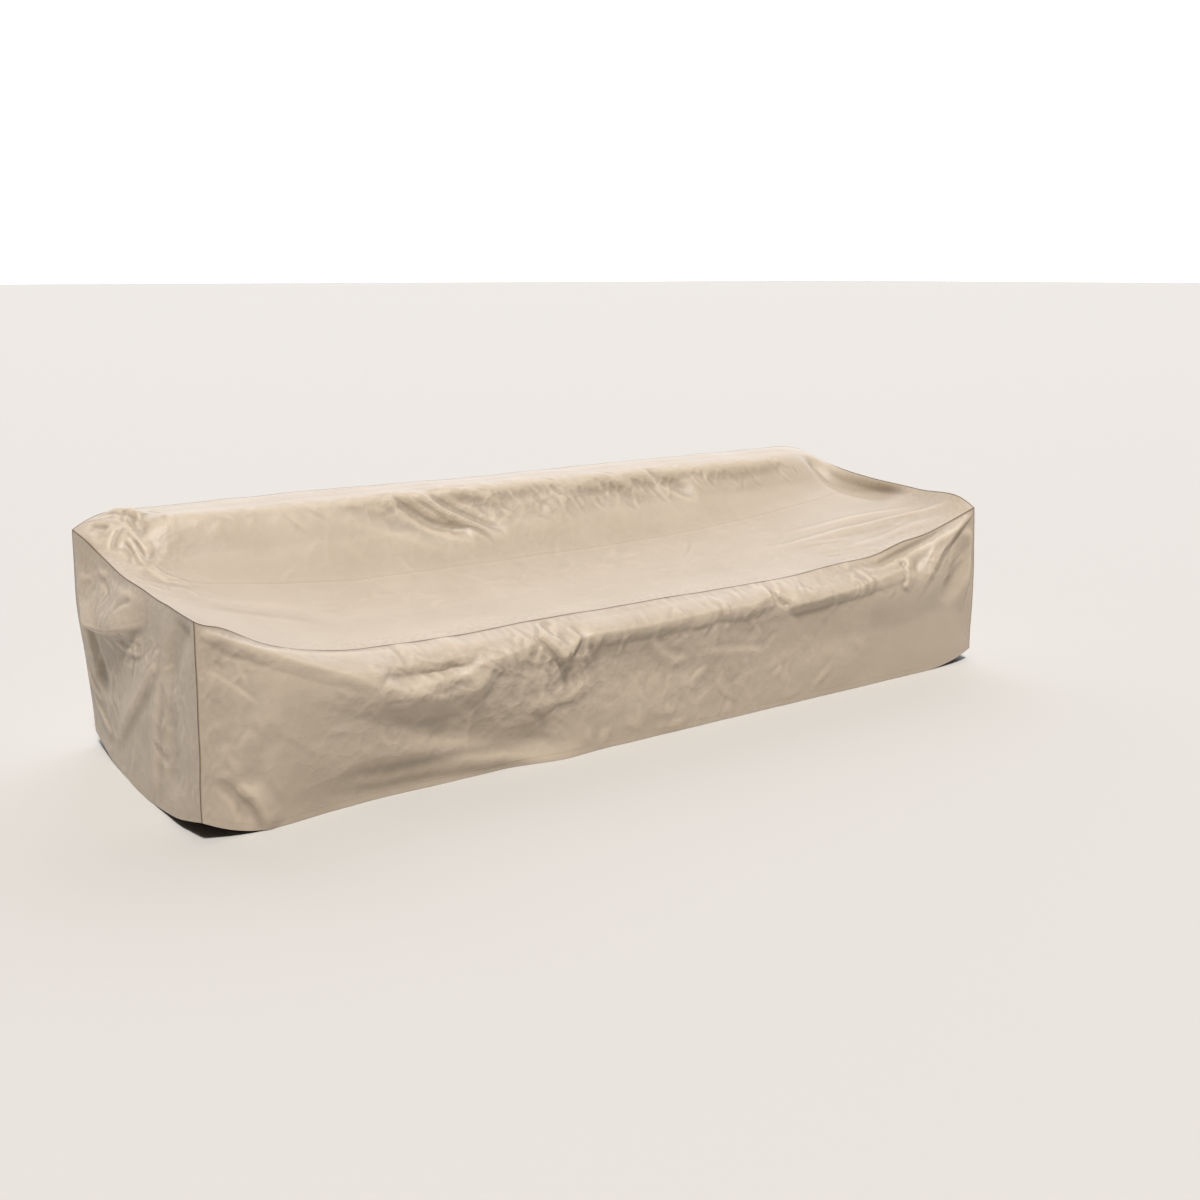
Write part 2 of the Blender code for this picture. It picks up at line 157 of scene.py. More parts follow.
# Seat and backrest: u is X and v is Y. Where a fold runs to the right, near is towards the back.
TOP_FOLDS = (
    # the back's inner edge, and the steep cloth under it
    Fold(-1.48, 0.345, -1.10, 0.340, -0.60, 0.335, 0.030, 0.020, 0.002, 0.15, 0.2),
    Fold(-0.75, 0.338, -0.20, 0.332, 0.30, 0.336, 0.034, 0.020, 0.004, 0.12, 0.2),
    Fold(0.20, 0.335, 0.45, 0.328, 0.68, 0.336, 0.034, 0.022, 0.006, 0.12, 0.2),
    Fold(0.60, 0.338, 0.90, 0.320, 1.40, 0.330, 0.034, 0.020, 0.004, 0.12, 0.2),
    Fold(-0.70, 0.295, -0.30, 0.290, 0.20, 0.296, 0.022, 0.070, -0.012, 0.3, 0.3),
    Fold(0.05, 0.292, 0.40, 0.280, 0.90, 0.296, 0.022, 0.080, -0.018, 0.3, 0.3),
    Fold(0.80, 0.285, 1.10, 0.280, 1.40, 0.292, 0.022, 0.060, -0.010, 0.3, 0.3),
    # the crumpled corner behind the left arm: its rim, the pocket under it, two valleys and a star
    Fold(-1.61, 0.525, -1.55, 0.475, -1.505, 0.395, 0.040, 0.014, 0.016, 0.12, 0.15),
    Fold(-1.560, 0.450, -1.540, 0.375, -1.535, 0.300, 0.030, 0.018, -0.018, 0.4),
    Fold(-1.660, 0.490, -1.642, 0.455, -1.610, 0.400, 0.010, 0.026, -0.011, 0.2),
    Fold(-1.570, 0.385, -1.610, 0.368, -1.640, 0.320, 0.024, 0.010, -0.010, 0.15),
    Fold(-1.596, 0.340, -1.580, 0.280, -1.566, 0.215, 0.010, 0.024, -0.009, 0.15),
    Fold(-1.572, 0.365, -1.550, 0.305, -1.536, 0.245, 0.026, 0.010, 0.010, 0.15),
    Fold(-1.570, 0.235, -1.550, 0.145, -1.465, 0.078, 0.012, 0.034, -0.008, 0.2),
    Fold(-1.540, 0.250, -1.515, 0.165, -1.420, 0.105, 0.012, 0.034, 0.006, 0.2),
    # the sagging folds in the backrest
    Fold(-0.530, 0.350, -0.410, 0.274, -0.215, 0.202, 0.018, 0.012, 0.019, 0.25),
    Fold(-0.610, 0.338, -0.480, 0.262, -0.315, 0.212, 0.016, 0.024, -0.028, 0.3),
    Fold(-0.460, 0.338, -0.340, 0.268, -0.170, 0.202, 0.016, 0.020, -0.018, 0.3),
    Fold(-0.88, 0.315, -0.66, 0.275, -0.39, 0.182, 0.030, 0.030, -0.011, 0.4),
    Fold(-0.42, 0.36, -0.26, 0.31, -0.12, 0.290, 0.016, 0.018, 0.010, 0.3),
    Fold(0.56, 0.36, 0.66, 0.30, 0.80, 0.24, 0.026, 0.022, -0.016, 0.3),
    Fold(0.30, 0.36, 0.42, 0.30, 0.56, 0.27, 0.020, 0.022, 0.010, 0.3),
    # the seat, pulled up towards the right arm, and the arm's steep inner side
    Fold(1.645, -0.455, 1.340, -0.225, 0.780, -0.130, 0.050, 0.018, 0.012, 0.15, 0.2, 0.6),
    Fold(1.600, -0.330, 1.360, -0.140, 0.900, -0.050, 0.060, 0.022, 0.007, 0.2, 0.3, 0.6),
    Fold(1.560, -0.455, 1.360, -0.370, 1.080, -0.320, 0.030, 0.022, 0.004, 0.3),
    Fold(1.560, 0.400, 1.592, 0.150, 1.668, -0.240, 0.055, 0.070, -0.034, 0.12, 0.12, 0.35),
    Fold(-1.505, -0.125, -1.30, -0.095, -1.05, -0.192, 0.050, 0.050, -0.012, 0.6),
)

# Front panel: u is X and v is Z. Where a fold runs to the right, near is its upper side.
FRONT_FOLDS = (
    # the foot of the cloth by the left corner, and the sweep of the hem beyond it
    Fold(-1.30, 0.02, -0.85, 0.00, -0.20, 0.00, 0.130, 0.170, 0.016, 1.0, 0.45, 0.3),
    Fold(-1.64, 0.33, -1.25, 0.28, -0.85, 0.20, 0.140, 0.170, 0.020, 0.9, 0.25, 0.4),
    Fold(-1.50, 0.02, -1.20, 0.01, -0.90, 0.01, 0.120, 0.120, -0.012, 0.8, 0.35, 0.4),
    Fold(-1.585, 0.170, -1.520, 0.095, -1.472, -0.02, 0.050, 0.022, 0.015, 0.2, 0.3),
    Fold(-1.640, 0.195, -1.575, 0.125, -1.548, 0.010, 0.030, 0.022, -0.012, 0.25, 0.4),
    # beside the left corner
    Fold(-1.650, 0.600, -1.555, 0.500, -1.455, 0.350, 0.060, 0.050, -0.010, 0.5),
    Fold(-1.660, 0.530, -1.560, 0.450, -1.490, 0.380, 0.012, 0.040, 0.005, 0.25),
    Fold(-1.460, 0.350, -1.505, 0.230, -1.510, 0.090, 0.040, 0.040, -0.008, 0.5, 0.4),
    # the swag from the left corner down to its point
    Fold(-1.660, 0.660, -1.450, 0.525, -1.100, 0.383, 0.030, 0.028, 0.017, 0.06, 0.08, 0.4),
    Fold(-1.360, 0.478, -1.080, 0.372, -0.795, 0.276, 0.075, 0.095, 0.031, 0.06, 0.5, 0.30),
    Fold(-1.150, 0.412, -0.950, 0.392, -0.740, 0.404, 0.020, 0.022, -0.024, 0.35),
    Fold(-0.840, 0.265, -0.770, 0.318, -0.690, 0.395, 0.060, 0.046, 0.017, 0.10, 0.40, 0.5),
    Fold(-0.770, 0.392, -0.640, 0.404, -0.495, 0.425, 0.035, 0.050, 0.016, 0.08, 0.3, 0.15),
    # the roll's lower edge, hanging over
    Fold(-0.365, 0.414, -0.020, 0.411, 0.300, 0.421, 0.045, 0.036, 0.021, 0.08, 0.08),
    Fold(0.250, 0.420, 0.400, 0.414, 0.550, 0.438, 0.045, 0.036, 0.019, 0.08, 0.12),
    Fold(0.540, 0.465, 0.570, 0.425, 0.620, 0.388, 0.014, 0.018, -0.016, 0.25),
    Fold(0.600, 0.392, 0.800, 0.399, 1.060, 0.418, 0.050, 0.036, 0.021, 0.08, 0.1),
    Fold(1.000, 0.415, 1.130, 0.424, 1.260, 0.438, 0.050, 0.030, 0.021, 0.08, 0.1),
    # the pinched tuft in it
    Fold(-0.515, 0.440, -0.475, 0.400, -0.440, 0.352, 0.040, 0.011, 0.024, 0.15, 0.12),
    Fold(-0.440, 0.352, -0.400, 0.382, -0.350, 0.420, 0.040, 0.011, 0.022, 0.15, 0.12),
    Fold(-0.420, 0.470, -0.462, 0.455, -0.455, 0.420, 0.010, 0.009, -0.012, 0.3),
    Fold(-0.52, 0.445, -0.53, 0.41, -0.56, 0.37, 0.014, 0.024, -0.008, 0.25),
    Fold(-0.525, 0.242, -0.390, 0.285, -0.240, 0.300, 0.040, 0.040, -0.006, 0.4),
    Fold(-0.610, 0.198, -0.460, 0.215, -0.270, 0.235, 0.040, 0.020, 0.007, 0.3),
    # the hollow under the roll, and the ones that run down to the hem
    Fold(-0.400, 0.318, -0.150, 0.312, 0.250, 0.330, 0.085, 0.110, -0.022, 0.40, 0.2, 0.4),
    Fold(0.050, 0.335, 0.500, 0.330, 1.100, 0.350, 0.075, 0.130, -0.018, 0.40, 0.4, 0.3),
    Fold(-1.12, 0.265, -0.74, 0.135, -0.34, 0.058, 0.095, 0.060, -0.036, 0.2, 0.6, 0.25),
    Fold(-1.30, 0.115, -0.90, 0.100, -0.45, 0.066, 0.030, 0.030, -0.010, 0.4),
    Fold(-1.47, 0.062, -0.93, 0.022, -0.38, -0.018, 0.080, 0.160, -0.044, 0.25, 0.5, 0.26),
    Fold(-0.060, 0.395, 0.020, 0.290, 0.150, 0.262, 0.024, 0.030, 0.005, 0.2),
    Fold(0.120, 0.262, 0.300, 0.262, 0.560, 0.215, 0.022, 0.060, 0.006, 0.25),
    # the folds by the right corner
    Fold(1.300, 0.500, 1.270, 0.440, 1.215, 0.372, 0.034, 0.014, 0.012, 0.15, 0.25, 0.15),
    Fold(1.655, 0.674, 1.500, 0.530, 1.290, 0.345, 0.026, 0.095, 0.030, 0.06, 0.12, 0.4),
    Fold(1.645, 0.560, 1.580, 0.440, 1.480, 0.280, 0.040, 0.050, -0.022, 0.35),
    Fold(1.646, 0.600, 1.625, 0.430, 1.590, 0.220, 0.018, 0.070, 0.018, 0.15, 0.15, 0.4),
    Fold(1.560, 0.612, 1.350, 0.530, 1.060, 0.452, 0.016, 0.020, -0.014, 0.2),
)

# Ends: u is Y and v is Z. Where a fold runs to the front, near is its lower side.
LEFT_FOLDS = (
    # the ridge down from the rear corner, and the hollow behind it
    Fold(0.530, 0.700, 0.400, 0.540, 0.155, 0.405, 0.026, 0.055, 0.016, 0.12, 0.3),
    Fold(0.560, 0.560, 0.420, 0.410, 0.280, 0.220, 0.045, 0.035, -0.016, 0.4),
    # the pouch under the arm's seam: its lip, and the creases in it
    Fold(0.520, 0.530, 0.200, 0.488, -0.110, 0.590, 0.024, 0.130, 0.050, 0.28, 0.35, 0.4),
    Fold(0.310, 0.640, 0.215, 0.612, 0.240, 0.555, 0.010, 0.026, -0.006, 0.2),
    Fold(0.345, 0.668, 0.250, 0.636, 0.150, 0.600, 0.010, 0.026, 0.005, 0.2),
    Fold(0.120, 0.560, 0.060, 0.600, 0.000, 0.612, 0.010, 0.024, -0.005, 0.2),
    # the ridges from the arm down to the hem
    Fold(-0.222, 0.535, -0.075, 0.350, 0.310, 0.045, 0.070, 0.034, 0.015, 0.25, 0.25, 0.5),
    Fold(-0.228, 0.475, -0.198, 0.250, -0.186, -0.02, 0.070, 0.030, 0.010, 0.25),
    Fold(-0.510, 0.655, -0.370, 0.565, -0.280, 0.370, 0.050, 0.050, -0.016, 0.5),
    Fold(-0.30, 0.400, -0.33, 0.240, -0.30, 0.060, 0.040, 0.050, -0.010, 0.5),
    # short creases between them
    Fold(0.475, 0.240, 0.400, 0.160, 0.270, 0.100, 0.030, 0.014, 0.009, 0.2),
    Fold(0.530, 0.300, 0.450, 0.240, 0.355, 0.200, 0.028, 0.012, 0.009, 0.2),
    Fold(0.240, 0.472, 0.110, 0.445, -0.090, 0.461, 0.010, 0.022, 0.006, 0.2),
    Fold(-0.170, 0.225, -0.250, 0.186, -0.305, 0.197, 0.010, 0.012, -0.004, 0.2),
)
RIGHT_FOLDS = (
    # down from both arm corners, and the slack between them under the seam
    Fold(-0.515, 0.620, -0.370, 0.420, -0.300, 0.060, 0.110, 0.060, 0.017, 0.40, 0.2, 0.6),
    Fold(0.520, 0.740, 0.340, 0.460, 0.250, 0.080, 0.060, 0.110, 0.020, 0.40, 0.2, 0.6),
    Fold(0.440, 0.630, 0.150, 0.510, -0.240, 0.590, 0.040, 0.110, 0.022, 0.40, 0.4),
    # the hem's soft pleats
    Fold(0.060, 0.400, 0.010, 0.200, 0.050, -0.02, 0.050, 0.080, 0.011, 0.60, 0.6, 0.2),
    Fold(-0.130, 0.340, -0.170, 0.160, -0.120, -0.02, 0.070, 0.050, 0.011, 0.60, 0.6, 0.2),
)
# Rear panel: u is X and v is Z, as in front.
REAR_FOLDS = (
    # down from both corners, and the sags between them
    Fold(-1.680, 0.730, -1.320, 0.520, -0.850, 0.330, 0.120, 0.070, 0.024, 0.50, 0.15, 0.7),
    Fold(1.630, 0.760, 1.300, 0.500, 0.860, 0.300, 0.070, 0.120, 0.026, 0.50, 0.15, 0.7),
    Fold(-1.050, 0.700, -0.450, 0.580, 0.200, 0.690, 0.110, 0.070, 0.018, 0.60, 0.5),
    Fold(0.250, 0.640, 0.640, 0.560, 1.080, 0.650, 0.090, 0.060, 0.013, 0.60, 0.5),
    Fold(-0.700, 0.440, -0.250, 0.330, 0.350, 0.400, 0.080, 0.070, 0.010, 0.60, 0.5),
    # the hem's soft pleats
    Fold(-1.250, 0.300, -1.180, 0.140, -1.200, -0.02, 0.070, 0.090, 0.016, 0.70, 0.6, 0.2),
    Fold(-0.300, 0.260, -0.200, 0.120, -0.230, -0.02, 0.090, 0.070, 0.016, 0.70, 0.6, 0.2),
    Fold(0.720, 0.320, 0.800, 0.150, 0.770, -0.02, 0.070, 0.090, 0.016, 0.70, 0.6, 0.2),
)

# Patches of small creases, each a short fold. half_u and half_v are half of a patch's size; turn
# is the way its creases run, in degrees from u, and spread how far they stray from it; count is how
# many there are, length and width are what they measure on average, and height is about the most.
Patch = namedtuple("Patch", "u v half_u half_v turn spread count length width height")
TOP_PATCHES = (
    Patch(-1.56, 0.39, 0.12, 0.15, -50, 40, 40, 0.09, 0.016, 0.0045),
    Patch(-0.40, 0.29, 0.30, 0.09, -25, 18, 34, 0.13, 0.014, 0.0032),
    Patch(0.20, 0.29, 0.50, 0.06, -35, 35, 60, 0.08, 0.011, 0.0030),
    Patch(0.95, 0.30, 0.50, 0.05, -20, 30, 44, 0.08, 0.011, 0.0024),
    Patch(-1.00, 0.34, 0.45, 0.05, -12, 20, 24, 0.10, 0.014, 0.0018),
    Patch(1.32, -0.30, 0.34, 0.15, 152, 8, 12, 0.24, 0.018, 0.0018),
    Patch(-1.52, 0.15, 0.12, 0.25, -60, 20, 18, 0.12, 0.014, 0.0022),
    Patch(0.00, 0.00, 1.50, 0.45, 5, 50, 60, 0.16, 0.022, 0.0012),
)
FRONT_PATCHES = (
    Patch(-1.42, 0.53, 0.24, 0.07, -20, 20, 30, 0.09, 0.012, 0.0026),
    Patch(-0.95, 0.39, 0.30, 0.08, -14, 18, 46, 0.12, 0.014, 0.0040),
    Patch(-0.50, 0.37, 0.22, 0.10, -60, 40, 50, 0.08, 0.014, 0.0032),
    Patch(-0.45, 0.25, 0.20, 0.10, -35, 45, 30, 0.09, 0.018, 0.0026),
    Patch(0.15, 0.41, 0.60, 0.06, 35, 35, 56, 0.07, 0.012, 0.0022),
    Patch(0.95, 0.44, 0.50, 0.08, 25, 30, 60, 0.09, 0.012, 0.0026),
    Patch(1.46, 0.50, 0.16, 0.14, 48, 8, 18, 0.18, 0.013, 0.0022),
    Patch(0.20, 0.20, 0.80, 0.18, -25, 45, 60, 0.13, 0.024, 0.0028),
    Patch(-1.00, 0.22, 0.55, 0.20, -18, 15, 24, 0.25, 0.030, 0.0024),
    Patch(-1.58, 0.30, 0.09, 0.26, -60, 30, 20, 0.10, 0.016, 0.0013),
)
LEFT_PATCHES = (
    Patch(0.30, 0.60, 0.20, 0.08, 35, 35, 26, 0.08, 0.012, 0.0020),
    Patch(0.05, 0.47, 0.28, 0.10, -30, 30, 26, 0.12, 0.012, 0.0022),
    Patch(0.30, 0.24, 0.22, 0.16, 50, 20, 16, 0.16, 0.016, 0.0022),
    Patch(-0.38, 0.30, 0.14, 0.28, -70, 30, 20, 0.10, 0.012, 0.0014),
    Patch(0.00, 0.32, 0.60, 0.40, -40, 50, 44, 0.13, 0.016, 0.0016),
)
RIGHT_PATCHES = (
    Patch(0.10, 0.56, 0.40, 0.10, 30, 40, 40, 0.09, 0.012, 0.0024),
    Patch(0.00, 0.32, 0.60, 0.40, -60, 45, 70, 0.10, 0.012, 0.0014),
)
REAR_PATCHES = (
    Patch(-0.40, 0.62, 1.00, 0.12, -10, 40, 80, 0.10, 0.016, 0.0024),
    Patch(0.00, 0.40, 1.60, 0.50, -50, 50, 140, 0.12, 0.018, 0.0018),
)

# Facets from packing and handling, strongest where the patches are: their size, and their depth
# where the cloth is wholly crumpled
CRUMPLES = ((0.13, 0.007), (0.060, 0.0018))
CRUMPLED_LEAST = 0.06  # how crumpled plain cloth is, from 0 to 1
CRUMPLED_MOST = 0.0045  # the height of a patch's creases where it is wholly crumpled
FACET_BEND = 0.35  # how far the facets' ridges stray from straight lines, in facets
FACET_BEND_SIZE = 0.7  # hills to a facet in what bends them
SLACK_SIZE = 0.22  # the slow swells of slack cloth
SLACK_HEIGHT = 0.0030
DRIFT_SIZE = 0.16  # how unevenly the seams and hems run
DRIFT = 0.0022
DRIFT_CALM = 0.10  # below this height the drift fades, and at the floor it is gone
REPEAT = 64  # random patterns repeat after this many hills or facets
RELIEF_REACH = 2  # rows and columns over which a crease's height is compared

# Beside the seams
FOLD_HOLD = 0.046  # main folds fade out over this distance from a seam
CREASE_HOLD = 0.030  # small creases over this one, which starts so far behind the seam that
CREASE_LEFT = 0.012  # a third of them is left there
PUCKER_PITCH = 0.017
PUCKER_REACH = 0.022  # where the puckers are highest
PUCKER_HEIGHT = 0.0006
EDGE_DIP = 0.0016  # how deep a panel's edge turns down into the seam
EDGE_ROUND = 0.0030  # how far from the seam it does so
STITCH_LINE = 0.0065  # the topstitching's distance from the seam
STITCH_DIP = 0.0005  # how deep it draws the cloth in
STITCH_DRAW = 0.0015  # how far to either side
JOIN_DIP = 0.0004  # the join across the top lies flat, and hardly shows
JOIN_FAINT = 0.0036  # it is coloured as cloth this far from a seam
HEM_LINE = 0.024  # the hem's topstitching above its edge
INSIDE = (0.0, 0.1, 0.3)  # a point inside the cover, that outward normals lead away from

# Topstitching
STITCH_PITCH = 0.0080  # from one stitch to the next
STITCH_LENGTH = 0.0062
STITCH_RINGS = ((0.0, -0.9), (0.22, 0.25), (0.78, 0.25), (1.0, -0.9))  # share of length, threads up
THREAD = 0.0010  # the thread's width
SQUARE = ((-1, -1), (1, -1), (1, 1), (-1, 1))  # a square's corners, round its middle

# The floor, and the light of the room: bright and cool behind the cover, dim and warm before it
FLOOR_REACH = 200.0
FLOOR_GAP = 0.001
BRIGHT_WAY = (0.579, 0.816, 0.0)
BRIGHT_WHITE = (0.95, 0.98, 1.06, 1.0)
BRIGHT_STRENGTH = 1.8
DIM_WHITE = (1.0, 0.80, 0.58, 1.0)
DIM_STRENGTH = 0.13
BRIGHT_EDGES = (0.1, 0.9)  # cosines from the bright way, where brightness starts and is full
LAMP_TURN = (23.0, -12.0, 0.0)  # degrees about X, Y and Z, from straight down
LAMP_SPREAD = 10.0  # degrees across, as seen from the cover
LAMP_STRENGTH = 3.7
LAMP_WHITE = (1.0, 0.985, 0.955)

# The photograph's view, solved from the cover's seams
SENSOR = 36.0  # millimetres across
LENS = 41.06  # millimetres
CAMERA_PLACE = (-2.8885, -4.2312, 1.6181)
CAMERA_DOWN = 13.4776  # degrees below level
CAMERA_RIGHT = 35.3546  # degrees to the right of straight ahead


# ---------------------------------------------------------------------------------------------
# Shapes


def smooth_through(stations, values, at):
    """The cubic curve through values[k] at stations[k], its slopes taken from its neighbours."""
    stations = np.asarray(stations, float)
    values = np.asarray(values, float)
    at = np.asarray(at, float)
    slopes = np.gradient(values, stations, axis=0)
    k = np.clip(np.searchsorted(stations, at, side="right") - 1, 0, len(stations) - 2)
    step = stations[k + 1] - stations[k]
    q = (at - stations[k]) / step
    shape = q.shape + (1,) * (values.ndim - 1)
    q = q.reshape(shape)
    step = step.reshape(shape)
    return (
        (2 * q**3 - 3 * q**2 + 1) * values[k]
        + (q**3 - 2 * q**2 + q) * step * slopes[k]
        + (3 * q**2 - 2 * q**3) * values[k + 1]
        + (q**3 - q**2) * step * slopes[k + 1]
    )


def fading(distance, reach):
    """1 at no distance, falling along a parabola to 0 at the reach, as slack cloth hangs."""
    return (1.0 - np.clip(distance / reach, 0.0, 1.0)) ** 2


def ramp(distance, reach):
    """0 at no distance, rising smoothly to 1 at the reach."""
    q = np.clip(distance / reach, 0.0, 1.0)
    return q * q * (3.0 - 2.0 * q)


def divided(count, beside_start, beside_end):
    """Even shares from 0 to 1, with extra ones close beside either end."""
    even = np.linspace(0.0, 1.0, count + 1)
    return np.sort(np.concatenate([even, beside_start, 1.0 - np.asarray(beside_end)]))


def drop_places():
    """Shares of the drop, from 0 to 1, closer together where the front's folds are sharpest."""
    even = divided(DROP_ROWS, SEAM_SHARES, ())
    turn = 2 * np.pi * (even - DROP_CROWDED)
    return even - DROP_CROWDING * (np.sin(turn) - np.sin(turn[0])) / (2 * np.pi)


def column_places():
    """Shares of the length, from 0 to 1, closer together near both arms."""
    even = np.linspace(0.0, 1.0, COLUMNS + 1)
    crowded = even - END_CROWDING * np.sin(2 * np.pi * even) / (2 * np.pi)
    beside = np.asarray(END_SHARES)
    return np.sort(np.concatenate([crowded[:1], beside, crowded[2:-2], 1.0 - beside, crowded[-1:]]))


def rail_points(rail, places):
    """The rail's points: level in the middle, eased to its ends over its reaches, and waved."""
    x = rail.x_left + (rail.x_right - rail.x_left) * places
    left = fading(x - rail.x_left, rail.reach_left)
    right = fading(rail.x_right - x, rail.reach_right)
    y = rail.y_middle + (rail.y_left - rail.y_middle) * left + (rail.y_right - rail.y_middle) * right
    z = rail.z_middle + (rail.z_left - rail.z_middle) * left + (rail.z_right - rail.z_middle) * right
    z += rail.lip * fading(rail.x_right - x, LIP_REACH)
    for wave in rail.waves:
        bell = np.exp(-(((x - wave.x) / wave.width) ** 2))
        bell *= ramp(x - rail.x_left, wave.width) * ramp(rail.x_right - x, wave.width)
        y += wave.y * bell
        z += wave.z * bell
    return np.stack([x, y, z], axis=-1)


def lofted(rails, rows):
    """A grid over the rails: rows of points at these shares, each as long as a rail."""
    places = column_places()
    through = np.stack([rail_points(rail, places) for rail in rails])
    return smooth_through([rail.share for rail in rails], through, rows)


def stretched_between(top, hem, front, rear, across_shares, down_shares):
    """The surface that four edges span: the two ways across it, less its four corners' own."""
    a = across_shares[None, :, None]
    t = down_shares[:, None, None]
    across = (1 - t) * top[None] + t * hem[None] + (1 - a) * front[:, None] + a * rear[:, None]
    corners = (1 - t) * ((1 - a) * top[0] + a * top[-1]) + t * ((1 - a) * hem[0] + a * hem[-1])
    return across - corners


def normals_of(grid):
    """Unit normals: the cross product of the grid's two directions at each point."""
    normal = np.cross(np.gradient(grid, axis=1), np.gradient(grid, axis=0))
    return normal / np.linalg.norm(normal, axis=-1, keepdims=True)


def lengths_along(grid, axis):
    """How far each point lies along the cloth from the grid's first row or column."""
    step = np.linalg.norm(np.diff(grid, axis=axis), axis=-1).cumsum(axis=axis)
    return np.insert(step, 0, 0.0, axis=axis)


# ---------------------------------------------------------------------------------------------
# Folds and creases


def crest(q, edge):
    """1 at the crest, falling along straight flanks to 0 at about one width: a tent, rounded by
    edge at its crest and half as much at its feet."""
    flank = 1.0 + edge - np.sqrt(q * q + edge * edge)
    foot = 0.1 + 0.5 * edge
    tent = 0.5 * (flank + np.sqrt(flank * flank + foot * foot))
    return tent * ramp(FOLD_REACH - np.abs(q), FOLD_FADE)


def fold_height(fold, u, v):
    """How far one fold moves each point near it. Its curve is a parabola through its three
    points, measured as short straight pieces. The crest's profile lies across it, as wide as near
    on its left and far on its right, and fades along the chord at both ends."""
    q = np.linspace(0.0, 1.0, PATH_STEPS + 1)[:, None]
    start = np.array([fold.u0, fold.v0])
    end = np.array([fold.u1, fold.v1])
    pull = 2 * np.array([fold.u_mid, fold.v_mid]) - (start + end) / 2
    path = (1 - q) ** 2 * start + 2 * q * (1 - q) * pull + q**2 * end
    room = FOLD_REACH * max(fold.near, fold.far)
    low, high = path.min(axis=0) - room, path.max(axis=0) + room
    close = (u > low[0]) & (u < high[0]) & (v > low[1]) & (v < high[1])
    step = np.diff(path, axis=0)
    offset = np.stack([u[close], v[close]], axis=-1)[..., None, :] - path[:-1]
    along = np.clip((offset * step).sum(-1) / (step**2).sum(-1), 0.0, 1.0)
    away = offset - along[..., None] * step
    distance = np.linalg.norm(away, axis=-1)
    nearest = distance.argmin(axis=-1)[..., None]
    chord = end - start
    share = np.clip((offset[..., 0, :] * chord).sum(-1) / (chord**2).sum(), 0.0, 1.0)
    side = step[:, 0] * away[..., 1] - step[:, 1] * away[..., 0]
    left = np.take_along_axis(side, nearest, -1)[..., 0] > 0
    gap = np.take_along_axis(distance, nearest, -1)[..., 0]
    width = np.where(left, fold.near, fold.far)
    fade = np.minimum(ramp(share, fold.taper), ramp(1.0 - share, fold.end_taper or fold.taper))
    height = np.zeros(u.shape)
    height[close] = fold.height * crest(gap / width, fold.edge) * fade
    return height


def noise(p, q, seed):
    """Smooth random hills, about one to a unit and from about -1 to 1: each whole point has a
    random slope, and the slopes are blended between the four nearest along a curve whose first
    and second slopes are nought at both ends."""
    angle = np.random.default_rng(seed).uniform(0.0, 2 * np.pi, (REPEAT, REPEAT))
    i, j = np.floor(p).astype(int), np.floor(q).astype(int)
    f, g = p - i, q - j
    total = np.zeros(p.shape)
    for di in (0, 1):
        for dj in (0, 1):
            way = angle[(i + di) % REPEAT, (j + dj) % REPEAT]
            slope = np.cos(way) * (f - di) + np.sin(way) * (g - dj)
            a, b = np.abs(f - di), np.abs(g - dj)
            fall_a = 1 - a**3 * (6 * a * a - 15 * a + 10)
            fall_b = 1 - b**3 * (6 * b * b - 15 * b + 10)
            total += slope * (fall_a * fall_b)
    return 1.5 * total


def facets(p, q, seed):
    """Crumpled facets, about one to a unit: the square of the distance to the nearest of some
    scattered spots, one in each unit square, so that soft hollows meet in sharp ridges, less a
    quarter, which is about its mean."""
    spots = np.random.default_rng(seed).uniform(0.0, 1.0, (REPEAT, REPEAT, 2))
    hills_p, hills_q = (
        noise(FACET_BEND_SIZE * p, FACET_BEND_SIZE * q, seed + k) for k in (1, 2)
    )
    p, q = p + FACET_BEND * hills_p, q + FACET_BEND * hills_q
    i, j = np.floor(p).astype(int), np.floor(q).astype(int)
    nearest = np.full(p.shape, np.inf)
    for di in (-1, 0, 1):
        for dj in (-1, 0, 1):
            spot = spots[(i + di) % REPEAT, (j + dj) % REPEAT]
            away = (p - i - di - spot[..., 0]) ** 2 + (q - j - dj - spot[..., 1]) ** 2
            nearest = np.minimum(nearest, away)
    return nearest - 0.25


def crumpling(patches, u, v):
    """How crumpled each point is, from 0 to 1: a bell over each patch, as strong as its creases
    are high."""
    total = np.full(u.shape, CRUMPLED_LEAST)
    for patch in patches:
        far = ((u - patch.u) / patch.half_u) ** 2 + ((v - patch.v) / patch.half_v) ** 2
        total += patch.height / CRUMPLED_MOST * np.exp(-far)
    return np.minimum(total, 1.0)


def creases_of(patch, seed):
    """The patch's creases: short folds at random places in its oval, fewer towards its rim, each
    a little bent. As many sink in as stand out, and those that sink in are shallower."""
    random = np.random.default_rng(seed)
    folds = []
    for _ in range(patch.count):
        way = random.uniform(0.0, 2 * np.pi)
        out = random.uniform(0.0, 1.0) ** 0.6
        u = patch.u + patch.half_u * out * np.cos(way)
        v = patch.v + patch.half_v * out * np.sin(way)
        turn = radians(patch.turn + patch.spread * random.normal())
        half = 0.5 * patch.length * random.uniform(0.5, 1.5)
        bend = 0.12 * patch.length * random.normal()
        du, dv = half * np.cos(turn), half * np.sin(turn)
        middle = (u - bend * np.sin(turn), v + bend * np.cos(turn))
        near, far = patch.width * random.uniform(0.5, 1.5, 2)
        height = patch.height * random.uniform(0.3, 1.2) * random.choice((-0.7, 1.0))
        edge = random.uniform(0.1, 0.4)
        ends = (u - du, v - dv, *middle, u + du, v + dv)
        folds.append(Fold(*ends, near, far, height, edge, taper=0.5))
    return folds


